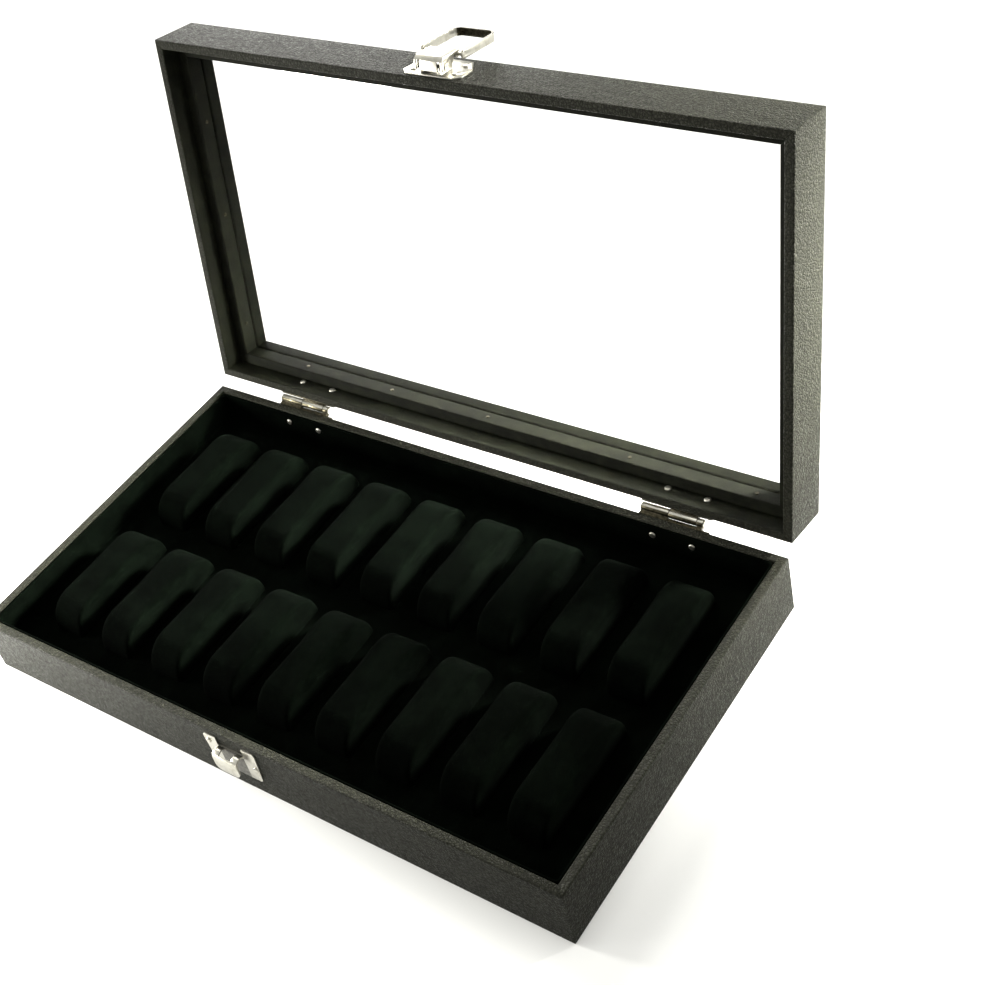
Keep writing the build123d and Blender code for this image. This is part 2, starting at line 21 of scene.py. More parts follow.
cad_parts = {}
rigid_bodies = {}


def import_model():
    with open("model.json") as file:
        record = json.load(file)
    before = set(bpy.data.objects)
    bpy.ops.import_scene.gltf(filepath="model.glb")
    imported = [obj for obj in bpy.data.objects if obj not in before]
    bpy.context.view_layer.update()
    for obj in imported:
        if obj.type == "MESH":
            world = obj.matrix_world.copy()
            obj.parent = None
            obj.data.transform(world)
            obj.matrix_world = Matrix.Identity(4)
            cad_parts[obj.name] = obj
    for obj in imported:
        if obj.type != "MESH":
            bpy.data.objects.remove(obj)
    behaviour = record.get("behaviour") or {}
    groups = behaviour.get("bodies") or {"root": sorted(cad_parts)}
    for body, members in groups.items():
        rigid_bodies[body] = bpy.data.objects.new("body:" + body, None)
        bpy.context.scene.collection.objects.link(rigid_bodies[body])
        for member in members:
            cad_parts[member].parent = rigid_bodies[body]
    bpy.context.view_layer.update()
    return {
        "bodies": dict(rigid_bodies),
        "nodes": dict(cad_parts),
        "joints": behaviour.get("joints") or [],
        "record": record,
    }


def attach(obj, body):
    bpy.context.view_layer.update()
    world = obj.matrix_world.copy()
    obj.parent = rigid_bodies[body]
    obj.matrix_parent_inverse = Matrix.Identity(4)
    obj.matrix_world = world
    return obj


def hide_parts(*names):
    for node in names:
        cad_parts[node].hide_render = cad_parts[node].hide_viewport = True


Triple = tuple[float, float, float]

MM = 0.001
TENTH = MM / 10
TOUCHING = 1e-6    # metres between two points that count as one
ALONG = Vector((1.0, 0.0, 0.0))
INWARDS = Vector((0.0, 1.0, 0.0))
UP = Vector((0.0, 0.0, 1.0))
PARALLEL = 0.999   # least cosine between an edge and the axis it runs along
SQUARE_ON = 0.9    # least cosine between a face's normal and the axis it looks along
CORNER = 1.0       # radians an edge is folded by, to count as a corner
log = logging.getLogger("watch case")


# ---- Shader building ----------------------------------------------------------------------------
class Term:
    """A number on a shader socket, on which Python's operators add Math nodes."""

    def __init__(self, board: "Board", socket: bpy.types.NodeSocket) -> None:
        """Wrap a socket of a board.

        Args:
            board: the material being built.
            socket: the output that carries the number.
        """
        self.board = board
        self.socket = socket

    def _math(self, operation: str, first: object, second: object) -> "Term":
        """Add one Math node.

        Args:
            operation: the node's operation.
            first: its first value or link.
            second: its second value or link.

        Returns:
            The result as a new term.
        """
        made = self.board.node("ShaderNodeMath", {"operation": operation}, {0: first, 1: second})
        return Term(self.board, made.outputs[0])

    def __add__(self, other: object) -> "Term":
        """self + other."""
        return self._math("ADD", self, other)

    def __radd__(self, other: object) -> "Term":
        """other + self."""
        return self._math("ADD", other, self)

    def __sub__(self, other: object) -> "Term":
        """self - other."""
        return self._math("SUBTRACT", self, other)

    def __rsub__(self, other: object) -> "Term":
        """other - self."""
        return self._math("SUBTRACT", other, self)

    def __mul__(self, other: object) -> "Term":
        """self * other."""
        return self._math("MULTIPLY", self, other)

    def __rmul__(self, other: object) -> "Term":
        """other * self."""
        return self._math("MULTIPLY", other, self)

    def smooth(self, low: float, high: float) -> "Term":
        """Fade from 0 to 1.

        Args:
            low: the value where the fade starts.
            high: the value where it ends.

        Returns:
            The faded term, kept within 0 and 1.
        """
        made = self.board.node("ShaderNodeMapRange", {"interpolation_type": "SMOOTHSTEP"},
                               {"Value": self, "From Min": low, "From Max": high})
        return Term(self.board, made.outputs["Result"])


class Board:
    """One material under construction, laid out on its node tree."""

    def __init__(self, name: str) -> None:
        """Start an empty material.

        Args:
            name: the material's name.
        """
        self.material = bpy.data.materials.new(name)
        self.material.use_nodes = True
        self.tree = self.material.node_tree
        self.tree.nodes.clear()
        self.place = self.node("ShaderNodeTexCoord").outputs["Object"]

    def node(self, kind: str, settings: dict | None = None, sockets: dict | None = None
             ) -> bpy.types.Node:
        """Add one node.

        Args:
            kind: the node's type.
            settings: its own options, set first; "stops" fills a colour ramp.
            sockets: values or links of its inputs, by name or number.

        Returns:
            The new node.
        """
        made = self.tree.nodes.new(kind)
        for name, value in (settings or {}).items():
            if name == "stops":
                ramp = made.color_ramp
                while len(ramp.elements) < len(value):
                    ramp.elements.new(0.5)
                for stop, (position, colour) in zip(ramp.elements, value):
                    stop.position = position
                    stop.color = (*colour, 1.0)
            else:
                setattr(made, name, value)
        for name, value in (sockets or {}).items():
            self.plug(made.inputs[name], value)
        return made

    def plug(self, socket: bpy.types.NodeSocket, value: object) -> None:
        """Give an input a value, or link a term or a socket to it.

        Args:
            socket: the input.
            value: what it gets.
        """
        if isinstance(value, Term):
            value = value.socket
        if isinstance(value, bpy.types.NodeSocket):
            self.tree.links.new(value, socket)
        else:
            socket.default_value = value

    def noise(self, scale: float, detail: float = 3.0, rough: float = 0.5,
              place: bpy.types.NodeSocket | None = None) -> Term:
        """Add soft noise.

        Args:
            scale: cycles to the metre.
            detail: how many octaves.
            rough: how strong the fine octaves are.
            place: the coordinates, the object's own if not given.

        Returns:
            The noise, about 0.5 on average.
        """
        made = self.node("ShaderNodeTexNoise", {}, {
            "Vector": place or self.place, "Scale": scale, "Detail": detail, "Roughness": rough})
        return Term(self, made.outputs[0])

    def cells(self, scale: float, feature: str,
              place: bpy.types.NodeSocket | None = None) -> Term:
        """Add a cell pattern.

        Args:
            scale: cells to the metre.
            feature: the pattern's kind, such as F1 or DISTANCE_TO_EDGE.
            place: the coordinates, the object's own if not given.

        Returns:
            The pattern's distance.
        """
        made = self.node("ShaderNodeTexVoronoi", {"feature": feature}, {
            "Vector": place or self.place, "Scale": scale})
        return Term(self, made.outputs["Distance"])

    def bands(self, scale: float, axis: str) -> Term:
        """Add soft parallel bands, a little wavy.

        Args:
            scale: how close they lie.
            axis: X or Y, across the bands.

        Returns:
            The bands, from 0 to 1.
        """
        made = self.node("ShaderNodeTexWave", {"wave_type": "BANDS", "bands_direction": axis}, {
            "Vector": self.place, "Scale": scale, "Distortion": 0.6, "Detail Scale": 3.0})
        return Term(self, made.outputs["Fac"])

    def warped(self, amount: float, scale: float) -> bpy.types.NodeSocket:
        """Shift the coordinates by noise.

        Args:
            amount: how far, in metres.
            scale: the noise's cycles to the metre.

        Returns:
            The shifted coordinates.
        """
        colour = self.node("ShaderNodeTexNoise", {}, {
            "Vector": self.place, "Scale": scale, "Detail": 2.0}).outputs["Color"]
        shift = self.node("ShaderNodeVectorMath", {"operation": "SUBTRACT"},
                          {0: colour, 1: (0.5, 0.5, 0.5)}).outputs[0]
        moved = self.node("ShaderNodeVectorMath", {"operation": "SCALE"},
                          {0: shift, "Scale": amount}).outputs[0]
        return self.node("ShaderNodeVectorMath", {"operation": "ADD"},
                         {0: self.place, 1: moved}).outputs[0]

    def stretched(self, scale: Triple) -> bpy.types.NodeSocket:
        """The coordinates scaled along each axis."""
        return self.node("ShaderNodeMapping", {}, {
            "Vector": self.place, "Scale": scale}).outputs[0]

    def blend(self, factor: Term, first: Triple, second: Triple) -> bpy.types.NodeSocket:
        """Mix two colours.

        Args:
            factor: 0 for the first, 1 for the second.
            first: a colour.
            second: a colour.

        Returns:
            The mixed colour's socket.
        """
        made = self.node("ShaderNodeMix", {"data_type": "RGBA"}, {
            0: factor, 6: (*first, 1.0), 7: (*second, 1.0)})
        return made.outputs[2]

    def relief(self, height: Term, depth: float) -> bpy.types.NodeSocket:
        """Turn a height into a bumped normal.

        Args:
            height: the height pattern.
            depth: how deep a step of 1 is, in metres.

        Returns:
            The normal's socket.
        """
        return self.node("ShaderNodeBump", {}, {
            "Height": height, "Distance": depth, "Strength": 1.0}).outputs[0]

    def finish(self, **sockets: object) -> bpy.types.Material:
        """Close the material with one Principled shader.

        Args:
            **sockets: the shader's inputs, with _ for a space.

        Returns:
            The finished material.
        """
        named = {name.replace("_", " "): value for name, value in sockets.items()}
        shader = self.node("ShaderNodeBsdfPrincipled", {}, named)
        self.node("ShaderNodeOutputMaterial", {}, {"Surface": shader.outputs[0]})
        return self.material


# ---- Finishes -----------------------------------------------------------------------------------
@dataclass(frozen=True)
class Leatherette:
    """Black grained book cloth, glued around the rails."""

    name: str = "leatherette"
    pebble: float = 1.55 * MM
    relief: float = 0.42 * MM
    dark: Triple = (0.0052, 0.0054, 0.0034)
    worn_and_unshaded: Triple = (0.0155, 0.0161, 0.0106)
    roughness: float = 0.64
    shine: float = 0.085
    shine_tint: Triple = (1.0, 0.985, 0.87)

    def material(self) -> bpy.types.Material:
        """Pebbles with creases between them, smoother on their tops, with painted shade darkening
        the creases.

        Returns:
            The finished material.
        """
        board = Board(self.name)
        place = board.warped(0.6 * MM, 700.0)
        crease = board.cells(1.0 / self.pebble, "DISTANCE_TO_EDGE", place).smooth(0.0, 0.26)
        dome = board.cells(1.0 / self.pebble, "SMOOTH_F1", place)
        small = board.cells(2.3 / self.pebble, "DISTANCE_TO_EDGE", place).smooth(0.0, 0.2)
        patch = board.noise(420.0, 3.0, 0.6)
        pull = board.noise(26.0, 2.0)
        height = (crease * 0.55 + small * 0.2 - dome * 0.45 + patch * 0.5
                  + board.noise(4200.0, 2.0) * 0.08)
        # Painted shade: the colour darkens into the creases between pebbles; the patches and fine
        # noise are random wear.
        wear_and_crease_shade = crease * 0.45 + patch * 0.35 + board.noise(90.0, 4.0) * 0.35
        rough = (self.roughness - crease * 0.14 - patch.smooth(0.35, 0.7) * 0.14 - pull * 0.08
                 + board.noise(160.0, 3.0) * 0.08)
        return board.finish(
            Base_Color=board.blend(wear_and_crease_shade.smooth(0.36, 0.86), self.dark, self.worn_and_unshaded),
            Roughness=rough, Normal=board.relief(height, self.relief),
            IOR=1.5, Specular_IOR_Level=self.shine, Specular_Tint=(*self.shine_tint, 1.0))


@dataclass(frozen=True)
class StripWrap:
    """Smoother black cover of the strips that hold the pane."""

    name: str = "strip wrap"
    grain: float = 1700.0
    relief: float = 0.09 * MM
    dark: Triple = (0.0030, 0.0033, 0.0019)
    scuffed: Triple = (0.0075, 0.0082, 0.0047)
    roughness: float = 0.58
    shine: float = 0.035

    def material(self) -> bpy.types.Material:
        """A shallow grain drawn out by the wrapping.

        Returns:
            The finished material.
        """
        board = Board(self.name)
        place = board.warped(0.5 * MM, 600.0)
        crease = board.cells(self.grain, "DISTANCE_TO_EDGE", place).smooth(0.0, 0.25)
        scuff = board.noise(140.0, 5.0, 0.6)
        return board.finish(
            Base_Color=board.blend(scuff.smooth(0.35, 0.75), self.dark, self.scuffed),
            Roughness=self.roughness - crease * 0.08 + scuff * 0.10,
            Normal=board.relief(crease + board.noise(3800.0) * 0.3, self.relief), IOR=1.5,
            Specular_IOR_Level=self.shine)


@dataclass(frozen=True)
class Velvet:
    """Short black pile over card and foam."""

    name: str = "black velvet"
    pile: float = 0.16 * MM
    dark: Triple = (0.0002, 0.0004, 0.0002)
    brushed: Triple = (0.0006, 0.0011, 0.0006)
    roughness: float = 0.92
    shine: float = 0.006
    sheen: float = 0.0012
    sheen_tint: Triple = (0.86, 1.0, 0.92)

    def material(self) -> bpy.types.Material:
        """Pile that lies this way and that, with fine fibres.

        Returns:
            The finished material.
        """
        board = Board(self.name)
        place = board.warped(6.0 * MM, 45.0)
        nap = board.noise(48.0, 4.0, 0.6, place)
        streak = board.noise(1.0, 3.0, 0.6, board.stretched((420.0, 130.0, 420.0)))
        fibre = board.noise(5200.0, 2.0, 0.7)
        lay = nap * 0.7 + streak * 0.3
        height = fibre * 0.6 + board.noise(1500.0, 3.0) * 0.5 + nap * 1.4
        return board.finish(
            Base_Color=board.blend(lay.smooth(0.38, 0.66), self.dark, self.brushed),
            Roughness=self.roughness + fibre * 0.08, Normal=board.relief(height, self.pile),
            Specular_IOR_Level=self.shine, Sheen_Weight=self.sheen, Sheen_Roughness=0.42,
            Sheen_Tint=(*self.sheen_tint, 1.0))


@dataclass(frozen=True)
class Nickel:
    """Bright nickel plate on pressed steel, handled and a little smudged."""

    name: str = "nickel plate"
    bright: Triple = (0.50, 0.485, 0.43)
    smudged: Triple = (0.34, 0.325, 0.27)
    roughness: float = 0.27
    relief: float = 0.004 * MM

    def material(self) -> bpy.types.Material:
        """Fine polishing lines, finger marks and small pits.

        Returns:
            The finished material.
        """
        board = Board(self.name)
        mark = board.noise(210.0, 5.0, 0.62).smooth(0.42, 0.72)
        line = board.noise(1.0, 3.0, 0.7, board.stretched((900.0, 14000.0, 14000.0)))
        pit = board.cells(1300.0, "F1").smooth(0.0, 0.16)
        return board.finish(
            Base_Color=board.blend(mark, self.bright, self.smudged), Metallic=1.0,
            Roughness=self.roughness + mark * 0.10 + line * 0.05,
            Normal=board.relief(line * 0.4 + pit * 0.5 + board.noise(150.0) * 1.2, self.relief))


@dataclass(frozen=True)
class Tarnish:
    """Brown brass, laid on as painted shade on narrow edges and in the insides of folds; the brads
    wear it too.
    """

    name: str = "tarnished brass and painted shade"
    dull: Triple = (0.020, 0.018, 0.011)
    warm: Triple = (0.080, 0.071, 0.046)
    roughness: float = 0.34
    relief: float = 0.01 * MM

    def material(self) -> bpy.types.Material:
        """Cloudy brown stains, brighter where a thumb has rubbed.

        Returns:
            The finished material.
        """
        board = Board(self.name)
        stain = board.noise(520.0, 4.0, 0.6).smooth(0.34, 0.68)
        return board.finish(
            Base_Color=board.blend(stain, self.dull, self.warm), Metallic=1.0,
            Roughness=self.roughness - stain * 0.1 + board.noise(1900.0, 3.0) * 0.08,
            Normal=board.relief(board.noise(1500.0, 3.0), self.relief))


@dataclass(frozen=True)
class ClearGlass:
    """Clear picture glass."""

    name: str = "clear glass"
    clear: Triple = (1.0, 1.0, 1.0)
    haze: float = 0.02

    def material(self) -> bpy.types.Material:
        """A pane that is hardly there, with a trace of haze.

        Returns:
            The finished material.
        """
        board = Board(self.name)
        haze = board.noise(35.0, 4.0, 0.55)
        return board.finish(
            Base_Color=(*self.clear, 1.0), Roughness=haze.smooth(0.55, 0.95) * self.haze,
            Transmission_Weight=1.0, IOR=1.45)


@dataclass(frozen=True)
class RawBoard:
    """Grey-brown fibre board inside and under the tray."""

    name: str = "raw board"
    dark: Triple = (0.17, 0.12, 0.075)
    pale: Triple = (0.34, 0.26, 0.17)
    relief: float = 0.05 * MM

    def material(self) -> bpy.types.Material:
        """Short fibres pressed flat.

        Returns:
            The finished material.
        """
        board = Board(self.name)
        fibre = board.noise(1.0, 5.0, 0.7, board.stretched((260.0, 1400.0, 1400.0)))
        speck = board.noise(900.0, 3.0).smooth(0.55, 0.75)
        return board.finish(
            Base_Color=board.blend(fibre * 0.7 + speck * 0.3, self.dark, self.pale),
            Roughness=0.86, Normal=board.relief(fibre, self.relief))


@dataclass(frozen=True)
class BackingSheet:
    """Black paper-backed cloth glued on the underside."""

    name: str = "backing sheet"
    weave: float = 420.0
    dark: Triple = (0.012, 0.012, 0.012)
    dusty: Triple = (0.05, 0.048, 0.044)
    relief: float = 0.06 * MM

    def material(self) -> bpy.types.Material:
        """A close weave, dusty in places.

        Returns:
            The finished material.
        """
        board = Board(self.name)
        weave = board.bands(self.weave, "X") * board.bands(self.weave, "Y")
        dust = board.noise(60.0, 5.0, 0.65).smooth(0.5, 0.8)
        return board.finish(
            Base_Color=board.blend(dust * 0.6 + weave * 0.2, self.dark, self.dusty),
            Roughness=0.84 + weave * 0.1, Normal=board.relief(weave, self.relief))


@dataclass(frozen=True)
class StudioFloor:
    """Pale matt sweep under the case."""

    name: str = "studio floor"
    plain: Triple = (0.90, 0.90, 0.89)
    fleck: Triple = (0.92, 0.92, 0.91)

    def material(self) -> bpy.types.Material:
        """Almost white card.

        Returns:
            The finished material.
        """
        board = Board(self.name)
        return board.finish(
            Base_Color=board.blend(board.noise(40.0, 3.0), self.plain, self.fleck),
            Roughness=0.75, Normal=board.relief(board.noise(700.0), 0.02 * MM),
            Specular_IOR_Level=0.3)


class Slot(Enum):
    """The record's material slots."""

    LEATHERETTE = "leatherette"
    VELVET = "velvet"
    NICKEL = "nickel_plate"
    GLASS = "glass"
    BOARD = "raw_board"
    SHEET = "backing_sheet"


class Palette:
    """Every finish, made once and shared by the pieces."""

    def __init__(self) -> None:
        """Make the materials."""
        self.leatherette = Leatherette().material()
        self.strip = StripWrap().material()
        self.velvet = Velvet().material()
        self.nickel = Nickel().material()
        # Brown brass that serves as painted shade on the metal parts, and as the brads' finish.
        self.tarnish = Tarnish().material()
        self.glass = ClearGlass().material()
        self.board = RawBoard().material()
        self.sheet = BackingSheet().material()
        self.floor = StudioFloor().material()

    @staticmethod
    def dress(piece: bpy.types.Object, material: bpy.types.Material, slot: Slot) -> None:
        """Put a finish on a piece, in place of what it has.

        Args:
            piece: the piece or CAD node.
            material: its finish.
            slot: the record's slot for that finish; not used.
        """
        if piece.material_slots:
            for held in piece.material_slots:
                held.material = material
        else:
            piece.data.materials.append(material)


# ---- Modelling ----------------------------------------------------------------------------------
class Bench:
    """The modelling tools, used on one piece at a time."""

    def __init__(self, piece: bpy.types.Object) -> None:
        """Take a piece onto the bench."""
        self.piece = piece

    @classmethod
    def block(cls, name: str, low: Vector, high: Vector) -> "Bench":
        """Start from a block.

        Args:
            name: the piece's name.
            low: its lowest corner.
            high: its highest corner.

        Returns:
            The bench with the block on it.
        """
        bpy.ops.object.select_all(action="DESELECT")
        bpy.ops.mesh.primitive_cube_add(size=1.0, location=(low + high) / 2)
        bench = cls(bpy.context.active_object)
        bench.piece.name = name
        bench.piece.scale = high - low
        return bench.settle()

    @classmethod
    def twin(cls, name: str, other: bpy.types.Object) -> "Bench":
        """Start from a copy of another object's mesh, on an object of its own.

        Args:
            name: the piece's name.
            other: the object to copy.

        Returns:
            The bench with the copy on it.
        """
        piece = bpy.data.objects.new(name, other.data.copy())
        bpy.context.scene.collection.objects.link(piece)
        return cls(piece)

    def take(self) -> None:
        """Select this piece alone."""
        bpy.ops.object.select_all(action="DESELECT")
        bpy.context.view_layer.objects.active = self.piece
        self.piece.select_set(True)

    def settle(self) -> "Bench":
        """Write the piece's place, turn and scale into its mesh.

        Returns:
            The same bench.
        """
        self.take()
        bpy.ops.object.transform_apply(location=True, rotation=True, scale=True)
        return self

    def place(self, matrix: Matrix) -> "Bench":
        """Move the piece by a matrix and write that into its mesh."""
        self.piece.matrix_world = matrix @ self.piece.matrix_world
        return self.settle()

    @contextmanager
    def editing(self) -> Iterator[None]:
        """Edit mode with nothing selected."""
        self.take()
        bpy.ops.object.mode_set(mode="EDIT")
        bpy.ops.mesh.select_mode(type="VERT")
        bpy.ops.mesh.select_all(action="DESELECT")
        try:
            yield
        finally:
            bpy.ops.object.mode_set(mode="OBJECT")

    def edges(self, test: Callable[[bmesh.types.BMEdge], bool]) -> None:
        """Select the edges that a test keeps, and nothing else."""
        self._pick("EDGE", "edges", test)

    def faces(self, test: Callable[[bmesh.types.BMFace], bool]) -> None:
        """Select the faces that a test keeps, and nothing else."""
        self._pick("FACE", "faces", test)

    def _pick(self, mode: str, kind: str, test: Callable[..., bool]) -> None:
        """Select the parts of one kind that a test keeps, and nothing else.

        Args:
            mode: the selection mode, EDGE or FACE.
            kind: the mesh's own word for them, edges or faces.
            test: says whether one is wanted.
        """
        bpy.ops.mesh.select_mode(type=mode)
        bpy.ops.mesh.select_all(action="DESELECT")
        shape = bmesh.from_edit_mesh(self.piece.data)
        for picked in [part for part in getattr(shape, kind) if test(part)]:
            picked.select_set(True)
        bmesh.update_edit_mesh(self.piece.data)

    def modify(self, kind: str, **settings: object) -> "Bench":
        """Add a modifier, set it and apply it.

        Args:
            kind: the modifier's type.
            **settings: its settings.

        Returns:
            The same bench.
        """
        self.take()
        added = self.piece.modifiers.new(kind.lower(), kind)
        for name, value in settings.items():
            setattr(added, name, value)
        bpy.ops.object.modifier_apply(modifier=added.name)
        return self

    def smooth(self, degrees: float = 32.0) -> "Bench":
        """Shade smooth, with edges sharper than an angle kept sharp.

        Args:
            degrees: the angle.

        Returns:
            The same bench.
        """
        self.take()
        bpy.ops.object.shade_smooth_by_angle(angle=math.radians(degrees))
        return self


def middle(edge: bmesh.types.BMEdge) -> Vector:
    """The middle of an edge."""
    return (edge.verts[0].co + edge.verts[1].co) / 2


def runs_along(edge: bmesh.types.BMEdge, axis: Vector) -> bool:
    """Whether an edge is parallel to an axis."""
    return abs((edge.verts[1].co - edge.verts[0].co).normalized().dot(axis)) > PARALLEL


# ---- Camera and room ----------------------------------------------------------------------------
@dataclass
class Camera:
    """A product shot from the right front, looking down on the tray and a little rolled.

    The three directions are the view's own: to its right, downwards and away from the eye.
    """

    place: Triple = (0.46720, -0.37247, 0.61245)
    right: Triple = (0.78688986, 0.57141419, -0.23300251)
    down: Triple = (0.24505154, -0.63588118, -0.7318503)
    forward: Triple = (-0.56635155, 0.51878796, -0.64039438)
    sensor_mm: float = 36.0
    lens_mm: float = 59.03
    shift: tuple[float, float] = (0.0943, -0.0391)
    nearest: float = 0.01
    farthest: float = 50.0

    def build(self) -> None:
        """Set the camera up and make it the scene's."""
        data = bpy.data.cameras.new("camera")
        data.sensor_fit = "AUTO"
        data.sensor_width = self.sensor_mm
        data.lens = self.lens_mm
        data.shift_x, data.shift_y = self.shift
        data.clip_start, data.clip_end = self.nearest, self.farthest
        camera = bpy.data.objects.new("camera", data)
        bpy.context.scene.collection.objects.link(camera)
        columns = (Vector(self.right), -Vector(self.down), -Vector(self.forward))
        turn = Matrix([[column[row] for column in columns] for row in range(3)]).to_4x4()
        camera.matrix_world = Matrix.Translation(self.place) @ turn
        bpy.context.scene.camera = camera


@dataclass(frozen=True)
class Lamp:
    """One soft square lamp: its side in metres, its watts and its beam's width in degrees."""

    name: str
    place: Triple
    aim: Triple
    size: float
    power: float
    spread: float
    colour: Triple = (1.0, 0.99, 0.94)

    def hang(self) -> None:
        """Hang the lamp in its place, turned to its aim and out of the camera's sight."""
        data = bpy.data.lights.new(self.name, "AREA")
        data.shape = "SQUARE"
        data.size = self.size
        data.energy = self.power
        data.spread = math.radians(self.spread)
        data.color = self.colour
        lamp = bpy.data.objects.new(self.name, data)
        lamp.visible_camera = False
        bpy.context.scene.collection.objects.link(lamp)
        beam = Vector(self.aim) - Vector(self.place)
        turn = beam.to_track_quat("-Z", "Y").to_matrix().to_4x4()
        lamp.matrix_world = Matrix.Translation(self.place) @ turn


@dataclass
class Room:
    """Pale sweep, even sky and six soft lamps, most of them at the left."""

    floor_reach: float = 6.0
    floor_bottom: float = -20.0 * MM
    floor_top: float = -0.05 * MM
    sky: float = 0.74
    sky_colour: Triple = (1.0, 1.0, 0.965)
    lamps: tuple[Lamp, ...] = (
        Lamp("overhead lamp", (0.0, 0.3, 3.2), (0.0, 0.0, 0.0), 1.6, 18.0, 160.0),
        Lamp("window lamp", (-1.15, 0.66, 1.35), (0.0, 0.0, 0.05), 0.7, 9.0, 120.0),
        Lamp("left lamp", (-0.39, -0.195, 0.105), (-0.14, -0.08, 0.0), 0.10, 3.0, 150.0),
        Lamp("front lamp", (-1.45, -1.10, 0.26), (-0.1, 0.15, 0.2), 0.32, 5.0, 120.0),
        Lamp("back lamp", (-1.12, 1.34, 0.56), (-0.03, 0.17, 0.26), 0.7, 1.7, 50.0),
        Lamp("side lamp", (0.60, 0.60, 0.33), (0.19, 0.215, 0.155), 0.16, 3.4, 26.0),
    )

    def build(self, palette: Palette) -> None:
        """Lay the floor, light the sky and hang the lamps.

        Args:
            palette: the finishes.
        """
        reach = self.floor_reach
        bench = Bench.block("studio_floor", Vector((-reach, -reach, self.floor_bottom)),
                            Vector((reach, reach, self.floor_top)))
        bench.piece.data.materials.append(palette.floor)
        world = bpy.data.worlds.new("sky")
        world.use_nodes = True
        back = world.node_tree.nodes["Background"]
        back.inputs["Color"].default_value = (*self.sky_colour, 1.0)
        back.inputs["Strength"].default_value = self.sky
        bpy.context.scene.world = world
        bpy.context.scene.view_settings.view_transform = "Standard"
        for lamp in self.lamps:
            lamp.hang()


# ---- Mitred frames ------------------------------------------------------------------------------
class Side(Enum):
    """The sides of a frame, as quarter turns of the front one."""

    FRONT = 0
    RIGHT = 1
    BACK = 2
    LEFT = 3

    @property
    def label(self) -> str:
        """The side's word in node names."""
        return self.name.lower()


@dataclass
class Lid:
    """The lid's hinge line and how far the lid stands open."""

    hinge: Triple = (0.0, 109.1 * MM, 36.9 * MM)
    degrees: float = 100.6

    def opened(self) -> Matrix:
        """The turn from shut to open."""
        there = Matrix.Translation(self.hinge)
        return there @ Matrix.Rotation(math.radians(-self.degrees), 4, "X") @ there.inverted()


@dataclass
class Moulding:
    """One length of a mitred frame, its long edges rounded and its mitres a little open."""

    half_run: float
    reach: float
    thickness: float
    bottom: float
    top: float
    round: float = 0.9 * MM
    groove: float = 0.22 * MM
    lip_depth: float = 0.0
    lip_bottom: float = 0.0

    def build(self, name: str) -> Bench:
        """Model the length as if it were the front one.

        Args:
            name: the piece's name.

        Returns:
            The bench with the moulding on it.
        """
        extra = 2 * self.thickness
        bench = Bench.block(name, Vector((-self.half_run - extra, -self.reach, self.bottom)),
                            Vector((self.half_run + extra, -self.reach + self.thickness, self.top)))
        with bench.editing():
            if self.lip_depth:
                self._raise_lip(bench)
            self._ease_edges(bench)
            for sign in (-1, 1):
                self._cut_mitre(bench, sign)
        return bench.smooth()

    def _raise_lip(self, bench: Bench) -> None:
        """Push the upper part of the inner face out into a lip.

        Args:
            bench: the bench with the length on it.
        """
        bpy.ops.mesh.select_all(action="SELECT")
        bpy.ops.mesh.bisect(plane_co=(0.0, 0.0, self.lip_bottom), plane_no=UP)
        bench.faces(lambda face: face.normal.y > SQUARE_ON
                    and face.calc_center_median().z > self.lip_bottom)
        move = {"value": (0.0, self.lip_depth, 0.0)}
        bpy.ops.mesh.extrude_region_move(TRANSFORM_OT_translate=move)

    def _ease_edges(self, bench: Bench) -> None:
        """Round every convex long edge.

        Args:
            bench: the bench with the length on it.
        """
        bench.edges(lambda edge: runs_along(edge, ALONG) and edge.is_convex
                    and edge.calc_face_angle(0.0) > CORNER)
        bpy.ops.mesh.bevel(offset=self.round, segments=4, profile=0.5)

    def _cut_mitre(self, bench: Bench, sign: int) -> None:
        """Cut one end at 45 degrees and ease the cut.

        Args:
            bench: the bench with the length on it.
            sign: -1 for the left end, 1 for the right one.
        """
        corner = Vector((sign * self.half_run, -self.reach, 0.0))
        normal = Vector((sign, 1.0, 0.0)).normalized()
        bpy.ops.mesh.select_all(action="SELECT")
        bpy.ops.mesh.bisect(plane_co=corner, plane_no=normal, use_fill=True, clear_outer=True)
        bench.edges(lambda edge: all(abs((vert.co - corner).dot(normal)) < TOUCHING
                                     for vert in edge.verts))
        bpy.ops.mesh.bevel(offset=self.groove, segments=2, profile=0.5)


